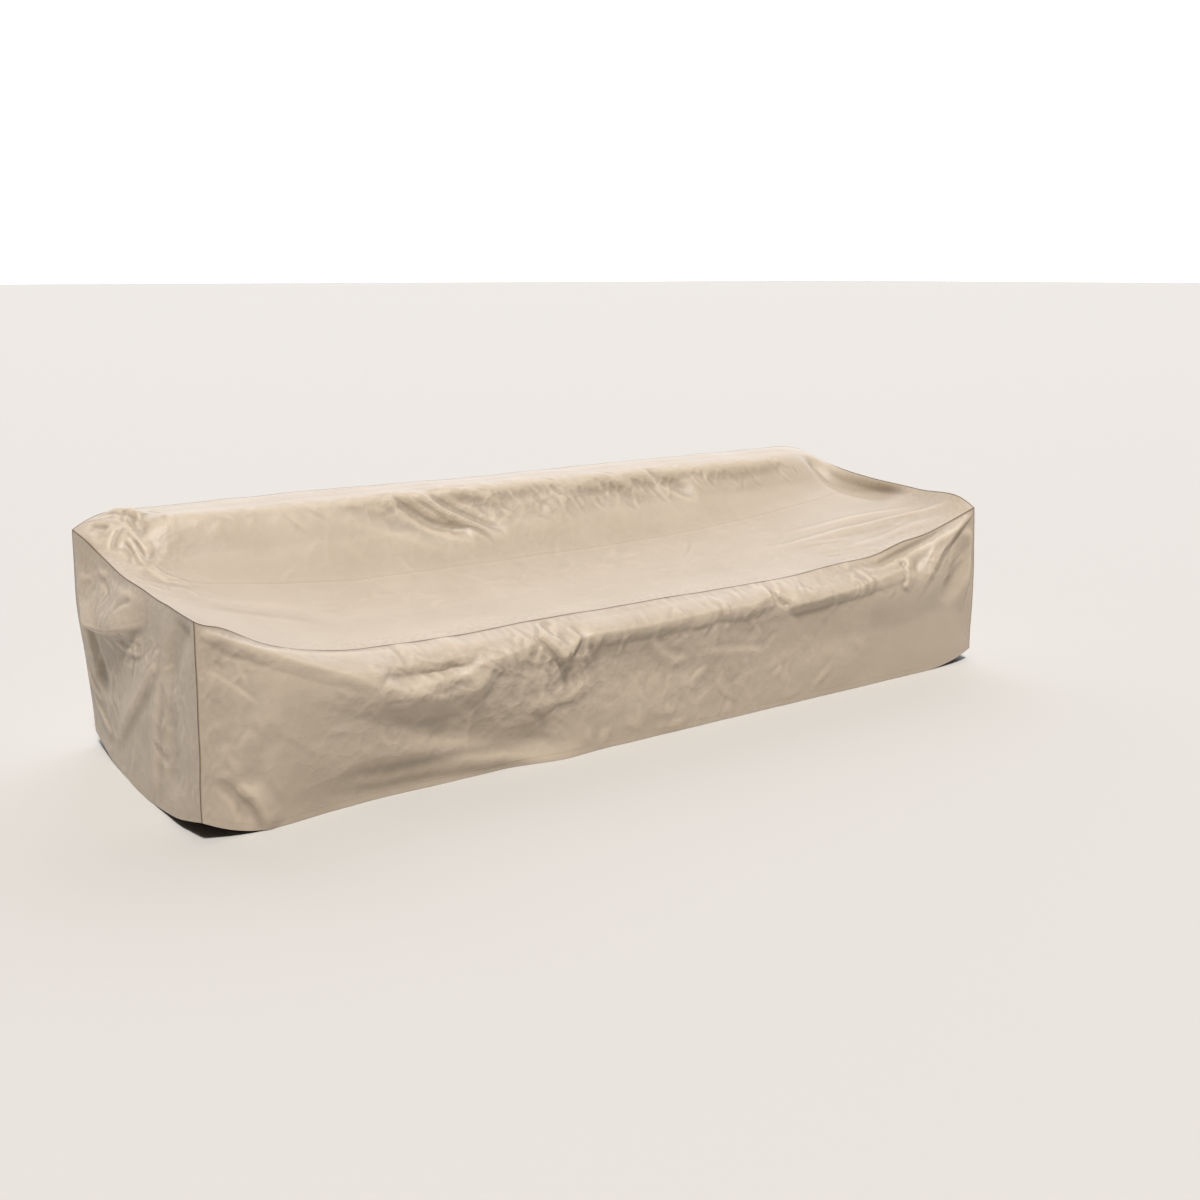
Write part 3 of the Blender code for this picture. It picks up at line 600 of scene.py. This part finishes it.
def from_seams(grid, seams):
    """Each point's distance along the cloth to the nearest seam among the named edges."""
    down = lengths_along(grid, 0)
    across = lengths_along(grid, 1)
    edges = {
        "first row": down,
        "last row": down[-1:] - down,
        "sides": np.minimum(across, across[:, -1:] - across),
    }
    return np.minimum.reduce([edges[seam] for seam in seams])


def drift(grid):
    """A slow wandering of the whole cover, the same on both sides of every seam: hills read at
    each point's place, on another slanted plane for each of the three directions."""
    x, y, z = np.moveaxis(grid / DRIFT_SIZE, -1, 0)
    move = np.stack([
        noise(y + 0.3 * x, z - 0.2 * x, 11),
        noise(x + 0.4 * z, z * 0.8 + 0.3 * y, 12),
        noise(x, y + 0.7 * z, 13),
    ], axis=-1)
    lifted = ramp(grid[..., Z:], DRIFT_CALM)
    return grid + DRIFT * move * lifted


Cloth = namedtuple("Cloth", "grid crumpled seam")


def draped(grid, folds, patches, u_axis, v_axis, seams, join, seed):
    """The grid moved along its normals by its folds and slack, which die out at its seams, then
    by its creases and facets, and by the puckers, the turned edge and the topstitching's groove
    beside the seams. join is the row of a seam that lies flat in it. With the grid come how
    crumpled it is and how far it is from a seam."""
    u, v = grid[..., u_axis], grid[..., v_axis]
    away = from_seams(grid, seams)
    hold = ramp(away, FOLD_HOLD)
    move = sum(fold_height(fold, u, v) for fold in folds)
    move += SLACK_HEIGHT * noise(u / SLACK_SIZE, v / SLACK_SIZE, seed)
    grid = grid + normals_of(grid) * (move * hold)[..., None]

    small = [fold for k, patch in enumerate(patches) for fold in creases_of(patch, seed + k)]
    move = sum(fold_height(fold, u, v) for fold in small)
    rough = crumpling(patches, u, v)
    for k, (size, height) in enumerate(CRUMPLES):
        move += height * rough * facets(u / size, v / size, seed + 90 + 3 * k)
    pucker = noise(u / PUCKER_PITCH, v / PUCKER_PITCH, seed + 95)
    near_seam = away / PUCKER_REACH
    move += PUCKER_HEIGHT * pucker * near_seam * np.exp(1 - near_seam)
    move -= EDGE_DIP * np.exp(-((away / EDGE_ROUND) ** 2))
    move -= STITCH_DIP * np.exp(-(((away - STITCH_LINE) / STITCH_DRAW) ** 2))
    move *= ramp(away + CREASE_LEFT, CREASE_HOLD)
    if join:
        down = lengths_along(grid, 0)
        beside = np.abs(down - down[join])
        move -= JOIN_DIP * np.exp(-((beside / EDGE_ROUND) ** 2))
        away = np.minimum(away, beside + JOIN_FAINT)
    return Cloth(grid + normals_of(grid) * move[..., None], rough, away)


def line_beside(grid, away):
    """The line across the columns at this distance along the cloth from the first row: its
    points, and the outward normals there."""
    down = lengths_along(grid, 0)
    values = np.concatenate([grid, normals_of(grid)], axis=-1)
    after = np.clip((down < away).sum(axis=0), 1, len(grid) - 1)
    column = np.arange(grid.shape[1])
    start, end = down[after - 1, column], down[after, column]
    share = ((away - start) / (end - start))[:, None]
    return values[after - 1, column] * (1 - share) + values[after, column] * share


def stitched_lines(panels):
    """The lines that are topstitched: beside every seam, on one of its panels, and above the
    hem. Their normals are turned to lead out of the cover."""
    names = ("front_panel", "rear_panel", "left_end_panel", "right_end_panel")
    hanging = [panels[name].grid for name in names]
    lines = [line_beside(grid, STITCH_LINE) for grid in hanging]
    for grid in hanging[:2]:
        across = grid.swapaxes(0, 1)
        lines += [line_beside(across, STITCH_LINE), line_beside(across[::-1], STITCH_LINE)]
    lines += [line_beside(grid[::-1], HEM_LINE) for grid in hanging]
    lines.append(line_beside(panels["backrest_panel"].grid, STITCH_LINE))
    for line in lines:
        line[:, 3:] *= np.sign((line[:, 3:] * (line[:, :3] - INSIDE)).sum(axis=-1, keepdims=True))
    return lines


def stitches_along(line):
    """The stitches of one line, each a thin bar of four rings: its ends sink into the cloth and
    its middle lies on it."""
    length = np.insert(np.linalg.norm(np.diff(line[:, :3], axis=0), axis=-1).cumsum(), 0, 0.0)
    starts = np.arange(STITCH_PITCH, length[-1] - 2 * STITCH_PITCH, STITCH_PITCH)
    shares, lifts = np.array(STITCH_RINGS).T
    places = starts[:, None] + STITCH_LENGTH * shares
    at = np.stack([np.interp(places, length, line[:, k]) for k in range(6)], axis=-1)
    point, normal = at[..., :3], at[..., 3:]
    normal = normal / np.linalg.norm(normal, axis=-1, keepdims=True)
    way = (point[:, -1] - point[:, 0])[:, None]
    side = np.cross(normal, way / np.linalg.norm(way, axis=-1, keepdims=True))
    middle = point + normal * (THREAD * lifts[:, None])
    ring = [middle + THREAD / 2 * (a * side + b * normal) for a, b in SQUARE]
    return np.stack(ring, axis=2)


def stitch_faces(count):
    """The faces of this many stitches: four sides between each two rings, and both ends."""
    sides = [
        (4 * k + a, 4 * k + (a + 1) % 4, 4 * k + 4 + (a + 1) % 4, 4 * k + 4 + a)
        for k in range(3)
        for a in range(4)
    ]
    one = np.array(sides + [(3, 2, 1, 0), (12, 13, 14, 15)])
    return (one + 16 * np.arange(count)[:, None, None]).reshape(-1, 4)


def above_floor(grid):
    """The grid with its low points lifted onto the floor."""
    return np.concatenate([grid[..., :Z], np.maximum(grid[..., Z:], FLOOR)], axis=-1)


def end_hems(front_hem, rear_hem, y):
    """Both end panels' hems, from the front panel's corners to the rear panel's."""
    table = np.array(END_HEMS)
    x_left, z_left, x_right, z_right = smooth_through(table[:, 0], table[:, 1:], y).T
    left = np.stack([x_left, y, z_left], axis=-1)
    right = np.stack([x_right, y, z_right], axis=-1)
    left[0], left[-1] = front_hem[0], rear_hem[0]
    right[0], right[-1] = front_hem[-1], rear_hem[-1]
    return left, right


def cover_panels():
    """Each panel's cloth, its outer face as a grid of points. The top and both long sides are
    lofted over their rails, and the ends are stretched between those and their own hems. In every
    grid the way along a row, crossed by the way from row to row, leads out of the cover."""
    seat_shares = divided(SEAT_ROWS, SEAM_SHARES, SEAM_SHARES)
    back_shares = 1.0 + divided(BACK_ROWS, SEAM_SHARES, SEAM_SHARES)
    shares = np.concatenate([seat_shares[:-1], back_shares])
    drop = drop_places()
    top = lofted(TOP_RAILS, shares)
    front = lofted(FRONT_RAILS, drop)
    rear = lofted(REAR_RAILS, drop)
    across = shares / 2.0
    hem_y = END_HEMS[0].y + (END_HEMS[-1].y - END_HEMS[0].y) * across
    hem_left, hem_right = end_hems(front[-1], rear[-1], hem_y)
    left = stretched_between(top[:, 0], hem_left, front[:, 0], rear[:, 0], across, drop)
    right = stretched_between(top[:, -1], hem_right, front[:, -1], rear[:, -1], across, drop)

    join = len(seat_shares) - 1
    hanging = ("first row", "sides")
    sewn_round = ("last row", *hanging)
    plain = {
        "top": (top, TOP_FOLDS, TOP_PATCHES, X, Y, sewn_round, join, 101),
        "front_panel": (front[:, ::-1], FRONT_FOLDS, FRONT_PATCHES, X, Z, hanging, None, 202),
        "rear_panel": (rear, REAR_FOLDS, REAR_PATCHES, X, Z, hanging, None, 303),
        "left_end_panel": (left, LEFT_FOLDS, LEFT_PATCHES, Y, Z, hanging, None, 404),
        "right_end_panel": (right[:, ::-1], RIGHT_FOLDS, RIGHT_PATCHES, Y, Z, hanging, None, 505),
    }
    panels = {}
    for name, row in plain.items():
        cloth = draped(*row)
        panels[name] = cloth._replace(grid=above_floor(drift(cloth.grid)))
    whole = panels.pop("top")
    panels["seat_panel"] = Cloth(*(values[: join + 1] for values in whole))
    panels["backrest_panel"] = Cloth(*(values[join:] for values in whole))
    return panels


# ---------------------------------------------------------------------------------------------
# Sheets


def mitres(panels):
    """Each point's step from the outer face to the inner one, for a cloth one unit thick. Where
    panels meet, the step reaches as deep along each panel's normal: the mitre of the seam."""
    grids = {name: cloth.grid for name, cloth in panels.items()}
    points = np.concatenate([grid.reshape(-1, 3) for grid in grids.values()])
    normals = np.concatenate([normals_of(grid).reshape(-1, 3) for grid in grids.values()])
    _, place = np.unique(np.round(points / WELD).astype(np.int64), axis=0, return_inverse=True)
    place = place.reshape(-1)
    squares = np.zeros((place.max() + 1, 3, 3))
    sums = np.zeros((place.max() + 1, 3))
    np.add.at(squares, place, normals[:, :, None] * normals[:, None, :])
    np.add.at(sums, place, normals)
    step = (np.linalg.pinv(squares, rcond=SAME_PLANE) @ sums[..., None])[place, :, 0]
    ends = np.cumsum([grid.shape[0] * grid.shape[1] for grid in grids.values()])
    parts = np.split(step, ends[:-1])
    return {name: part.reshape(grids[name].shape) for name, part in zip(grids, parts)}


def relief_of(grid):
    """How far each point stands above the mean of the points round it, in millimetres."""
    k = RELIEF_REACH
    mean = np.zeros_like(grid)
    padded = np.pad(grid, ((k, k), (k, k), (0, 0)), mode="edge")
    for row, column in ((0, k), (2 * k, k), (k, 0), (k, 2 * k)):
        mean += padded[row : row + grid.shape[0], column : column + grid.shape[1]] / 4
    return ((grid - mean) * normals_of(grid)).sum(axis=-1) * 1000.0


def closed_sheet(outer, inner):
    """Points and faces of the sheet between two grids: both faces and the wall round them."""
    rows, columns = outer.shape[:2]
    index = np.arange(rows * columns).reshape(rows, columns)
    a, b, c, d = index[:-1, :-1], index[:-1, 1:], index[1:, 1:], index[1:, :-1]
    face = np.stack([a, b, c, d], -1).reshape(-1, 4)
    round_edge = np.concatenate([index[0, :-1], index[:-1, -1], index[-1, :0:-1], index[:0:-1, 0]])
    after = np.roll(round_edge, -1)
    back = rows * columns
    wall = np.stack([after, round_edge, round_edge + back, after + back], -1)
    points = np.concatenate([outer.reshape(-1, 3), inner.reshape(-1, 3)])
    return points, np.concatenate([face, face[:, ::-1] + back, wall])


def new_piece(name, points, faces, material):
    """An object at the origin with these points and faces, shaded smooth."""
    mesh = bpy.data.meshes.new(name)
    mesh.vertices.add(len(points))
    mesh.vertices.foreach_set("co", np.ascontiguousarray(points, np.float32).ravel())
    mesh.loops.add(faces.size)
    mesh.loops.foreach_set("vertex_index", faces.astype(np.int32).ravel())
    mesh.polygons.add(len(faces))
    mesh.polygons.foreach_set("loop_start", np.arange(len(faces), dtype=np.int32) * faces.shape[1])
    mesh.update(calc_edges=True)
    mesh.validate()
    mesh.shade_smooth()
    mesh.materials.append(material)
    piece = bpy.data.objects.new(name, mesh)
    bpy.context.scene.collection.objects.link(piece)
    return piece


def add_point_values(piece, name, values):
    """One number for each point, which a material reads by name."""
    layer = piece.data.attributes.new(name, "FLOAT", "POINT")
    layer.data.foreach_set("value", values.astype(np.float32).ravel())


def add_cloth_map(piece, u, v):
    """The cloth's own map: lengths along it in metres, from its first column and first row."""
    layer = piece.data.uv_layers.new(name="cloth")
    loops = np.empty(len(piece.data.loops), dtype=np.int32)
    piece.data.loops.foreach_get("vertex_index", loops)
    places = np.stack([u.ravel(), v.ravel()], axis=-1)[loops]
    layer.uv.foreach_set("vector", places.astype(np.float32).ravel())


def make_panel(name, cloth, step, material):
    """The panel's sheet, with its map, its relief and its distance from the seams."""
    outer = cloth.grid
    inner = outer - CLOTH * step
    points, faces = closed_sheet(outer, inner)
    piece = new_piece(name + "_cloth", points, faces, material)
    piece.data.set_sharp_from_angle(angle=SHARP_TURN)
    u, v = lengths_along(outer, 1), lengths_along(outer, 0)
    add_cloth_map(piece, np.stack([u, u]), np.stack([v, v]))
    add_point_values(piece, "seam", np.stack([cloth.seam, cloth.seam]))
    add_point_values(piece, "crumpled", np.stack([cloth.crumpled, cloth.crumpled]))
    # The relief is what the material's painted shade in the creases' hollows is read from.
    relief = relief_of(outer)
    add_point_values(piece, "relief", np.stack([relief, -relief]))
    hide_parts(name)
    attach(piece, "root")
    return piece


def make_stitches(panels, material):
    """All the topstitching, as one piece."""
    bars = np.concatenate([stitches_along(line) for line in stitched_lines(panels)])
    piece = new_piece("topstitching", bars.reshape(-1, 3), stitch_faces(len(bars)), material)
    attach(piece, "root")
    return piece


# ---------------------------------------------------------------------------------------------
# Materials


def linear(hex_colour):
    """The linear colour of an sRGB hex value."""
    channels = [int(hex_colour[k : k + 2], 16) / 255.0 for k in (1, 3, 5)]
    bent = [c / 12.92 if c <= 0.04045 else ((c + 0.055) / 1.055) ** 2.4 for c in channels]
    return (*bent, 1.0)


def add_node(tree, kind, settings=None, links=None, **values):
    """A node of this kind. settings are its properties, links join its inputs to other nodes'
    outputs, and values set its inputs by name."""
    node = tree.nodes.new(kind)
    for key, value in (settings or {}).items():
        setattr(node, key, value)
    for key, value in values.items():
        node.inputs[key.replace("_", " ")].default_value = value
    for key, output in (links or {}).items():
        tree.links.new(output, node.inputs[key])
    return node


def bands_apart(spacing):
    """The scale at which a Wave texture's bands are this far apart: at scale 1, a metre holds 20
    radians of its wave."""
    return 1.0 / spacing / 20.0 * 2 * np.pi


def sand_colour(tree, place):
    """The cloth's colour: two sands in mottles about 200 mm wide, with painted shade up to a quarter
    darker in the hollows of the creases, and brown in the seams, where the cloth turns down."""
    mottle = add_node(
        tree, "ShaderNodeTexNoise", None, {"Vector": place}, Scale=5.0, Detail=4.0, Roughness=0.55
    ).outputs["Fac"]
    sand = add_node(
        tree, "ShaderNodeMix", {"data_type": "RGBA"}, {"Factor": mottle},
        A=linear("#BBAB97"), B=linear("#C7B8A5"),
    ).outputs["Result"]

    # Painted shade: the hollows of the creases are darkened by up to a quarter, the ridges left as
    # they are.
    relief = add_node(tree, "ShaderNodeAttribute", {"attribute_name": "relief"}).outputs["Fac"]
    raised = add_node(
        tree, "ShaderNodeMapRange", {"interpolation_type": "SMOOTHSTEP"}, {"Value": relief},
        From_Min=-1.2, From_Max=1.2,  # millimetres
    ).outputs["Result"]
    painted_crease_shade = add_node(
        tree, "ShaderNodeMix", {"data_type": "RGBA", "blend_type": "MULTIPLY"},
        {"A": sand, "B": raised}, Factor=0.25,
    ).outputs["Result"]

    seam = add_node(tree, "ShaderNodeAttribute", {"attribute_name": "seam"}).outputs["Fac"]
    open_cloth = add_node(
        tree, "ShaderNodeMapRange", {"interpolation_type": "SMOOTHSTEP"}, {"Value": seam},
        From_Min=0.0005, From_Max=0.006,  # metres from the seam
    ).outputs["Result"]
    return add_node(
        tree, "ShaderNodeMix", {"data_type": "RGBA"}, {"Factor": open_cloth, "B": painted_crease_shade},
        A=linear("#6E5A48"),
    ).outputs["Result"]


def crumpled_normal(tree, place):
    """The normal of creases too small for the mesh: where the cloth is crumpled, facets 42 mm
    and 18 mm wide, whose edges are bent by a slower noise, and all over it a fine crinkle, about
    26 mm wide at its widest."""
    crumpled = add_node(tree, "ShaderNodeAttribute", {"attribute_name": "crumpled"}).outputs["Fac"]
    normal = None
    for facets_a_metre, depth in ((24.0, 0.0038), (56.0, 0.0013)):
        bend = add_node(
            tree, "ShaderNodeTexNoise", None, {"Vector": place},
            Scale=facets_a_metre * 0.5, Detail=1.0,
        ).outputs["Color"]
        bent = add_node(
            tree, "ShaderNodeVectorMath", {"operation": "MULTIPLY_ADD"}, {0: bend, 2: place}
        )
        bent.inputs[1].default_value = (0.7 / facets_a_metre,) * 3
        cell = add_node(
            tree, "ShaderNodeTexVoronoi", {"feature": "F1"}, {"Vector": bent.outputs["Vector"]},
            Scale=facets_a_metre,
        ).outputs["Distance"]
        bowl = add_node(
            tree, "ShaderNodeMath", {"operation": "MULTIPLY"}, {0: cell, 1: cell}
        ).outputs[0]
        height = add_node(
            tree, "ShaderNodeMath", {"operation": "MULTIPLY"}, {0: bowl, 1: crumpled}
        ).outputs[0]
        under = {} if normal is None else {"Normal": normal}
        normal = add_node(
            tree, "ShaderNodeBump", None, {"Height": height, **under}, Strength=1.0, Distance=depth
        ).outputs["Normal"]
    crinkle = add_node(
        tree, "ShaderNodeTexNoise", None, {"Vector": place}, Scale=38.0, Detail=5.0, Roughness=0.6
    ).outputs["Fac"]
    return add_node(
        tree, "ShaderNodeBump", None, {"Height": crinkle, "Normal": normal},
        Strength=0.3, Distance=0.002,
    ).outputs["Normal"]


def woven_polyester():
    """Coated woven polyester, warm sand. The plain weave is too fine to see across a room, so its
    threads are drawn 2.4 mm apart, and the coated back keeps every crease crisp and satiny."""
    material = bpy.data.materials.new("coated_woven_polyester")
    material.use_nodes = True
    tree = material.node_tree
    shader = tree.nodes["Principled BSDF"]
    cloth_map = add_node(tree, "ShaderNodeUVMap", {"uv_map": "cloth"}).outputs["UV"]
    place = add_node(tree, "ShaderNodeTexCoord").outputs["Object"]
    tree.links.new(sand_colour(tree, place), shader.inputs["Base Color"])

    warp, weft = (
        add_node(
            tree, "ShaderNodeTexWave", {"wave_type": "BANDS", "bands_direction": way},
            {"Vector": cloth_map}, Scale=bands_apart(0.0024), Distortion=0.0,
        ).outputs["Fac"]
        for way in "XY"
    )
    weave = add_node(
        tree, "ShaderNodeMath", {"operation": "MULTIPLY"}, {0: warp, 1: weft}
    ).outputs[0]
    woven = add_node(
        tree, "ShaderNodeBump", None, {"Height": weave, "Normal": crumpled_normal(tree, place)},
        Strength=0.25, Distance=0.0003,
    ).outputs["Normal"]
    tree.links.new(woven, shader.inputs["Normal"])

    shader.inputs["Roughness"].default_value = 0.52
    shader.inputs["IOR"].default_value = 1.5
    shader.inputs["Coat Weight"].default_value = 0.35
    shader.inputs["Coat Roughness"].default_value = 0.5
    return material


def sewing_thread():
    """Twisted polyester thread, a little lighter than the cloth. Its plies are drawn 0.7 mm apart,
    as bumps and as painted shade and highlight in dark and light bands, and make it glint in short
    dashes."""
    material = bpy.data.materials.new("twisted_polyester_thread")
    material.use_nodes = True
    tree = material.node_tree
    shader = tree.nodes["Principled BSDF"]
    place = add_node(tree, "ShaderNodeTexCoord").outputs["Object"]
    ply = add_node(
        tree, "ShaderNodeTexWave", {"wave_type": "BANDS", "bands_direction": "DIAGONAL"},
        {"Vector": place}, Scale=bands_apart(0.0007), Distortion=0.0,
    ).outputs["Fac"]
    # Painted shade and painted highlight: each ply is darker in its grooves and lighter on its
    # crests.
    colour = add_node(
        tree, "ShaderNodeMix", {"data_type": "RGBA"}, {"Factor": ply},
        A=linear("#A3937F"), B=linear("#D3C7B8"),
    ).outputs["Result"]
    twisted = add_node(
        tree, "ShaderNodeBump", None, {"Height": ply}, Strength=0.5, Distance=0.0002
    ).outputs["Normal"]
    tree.links.new(colour, shader.inputs["Base Color"])
    tree.links.new(twisted, shader.inputs["Normal"])
    shader.inputs["Roughness"].default_value = 0.5
    return material


def painted_floor():
    """A pale matt floor."""
    material = bpy.data.materials.new("pale_matt_floor")
    material.use_nodes = True
    shader = material.node_tree.nodes["Principled BSDF"]
    shader.inputs["Base Color"].default_value = linear("#C2BFBB")
    shader.inputs["Roughness"].default_value = 0.9
    return material


# ---------------------------------------------------------------------------------------------
# Floor, light and camera


def make_floor():
    """A wide flat square at floor height, a hair under the hem."""
    corners = [(FLOOR_REACH * x, FLOOR_REACH * y, FLOOR - FLOOR_GAP) for x, y in SQUARE]
    floor = new_piece("floor", corners, np.array([[0, 1, 2, 3]]), painted_floor())


def add_lamp():
    """A soft lamp high over the front left, so far off that it lights evenly."""
    lamp = bpy.data.lights.new("overhead", "SUN")
    lamp.angle = radians(LAMP_SPREAD)
    lamp.energy = LAMP_STRENGTH
    lamp.color = LAMP_WHITE
    light = bpy.data.objects.new("overhead", lamp)
    light.rotation_euler = [radians(turn) for turn in LAMP_TURN]
    bpy.context.scene.collection.objects.link(light)


def make_light():
    """The lamp, in a room that is bright behind the cover, whose light glances off the upper
    faces, and dim before it."""
    world = bpy.data.worlds.new("studio")
    world.use_nodes = True
    tree = world.node_tree
    background = tree.nodes["Background"]
    direction = add_node(tree, "ShaderNodeTexCoord").outputs["Generated"]
    bright_side = add_node(
        tree, "ShaderNodeVectorMath", {"operation": "DOT_PRODUCT"}, {"Vector": direction}
    )
    bright_side.inputs[1].default_value = BRIGHT_WAY
    strength = add_node(
        tree, "ShaderNodeMapRange", {"interpolation_type": "SMOOTHSTEP"},
        {"Value": bright_side.outputs["Value"]},
        From_Min=BRIGHT_EDGES[0], From_Max=BRIGHT_EDGES[1],
        To_Min=DIM_STRENGTH, To_Max=BRIGHT_STRENGTH,
    ).outputs["Result"]
    tint = add_node(
        tree, "ShaderNodeMix", {"data_type": "RGBA"}, {"Factor": strength},
        A=DIM_WHITE, B=BRIGHT_WHITE,
    ).outputs["Result"]
    tree.links.new(tint, background.inputs["Color"])
    tree.links.new(strength, background.inputs["Strength"])
    bpy.context.scene.world = world
    bpy.context.scene.view_settings.view_transform = "Standard"
    add_lamp()


def make_camera():
    """The photograph's view."""
    lens = bpy.data.cameras.new("camera")
    lens.sensor_width = SENSOR
    lens.lens = LENS
    camera = bpy.data.objects.new("camera", lens)
    camera.location = CAMERA_PLACE
    camera.rotation_euler = (radians(90.0 - CAMERA_DOWN), 0.0, -radians(CAMERA_RIGHT))
    bpy.context.scene.collection.objects.link(camera)
    bpy.context.scene.camera = camera


def main():
    """Sew the cover, and set its floor, light and camera."""
    polyester = woven_polyester()
    panels = cover_panels()
    steps = mitres(panels)
    for name, cloth in panels.items():
        make_panel(name, cloth, steps[name], polyester)
    make_stitches(panels, sewing_thread())
    make_floor()
    make_light()
    make_camera()


main()
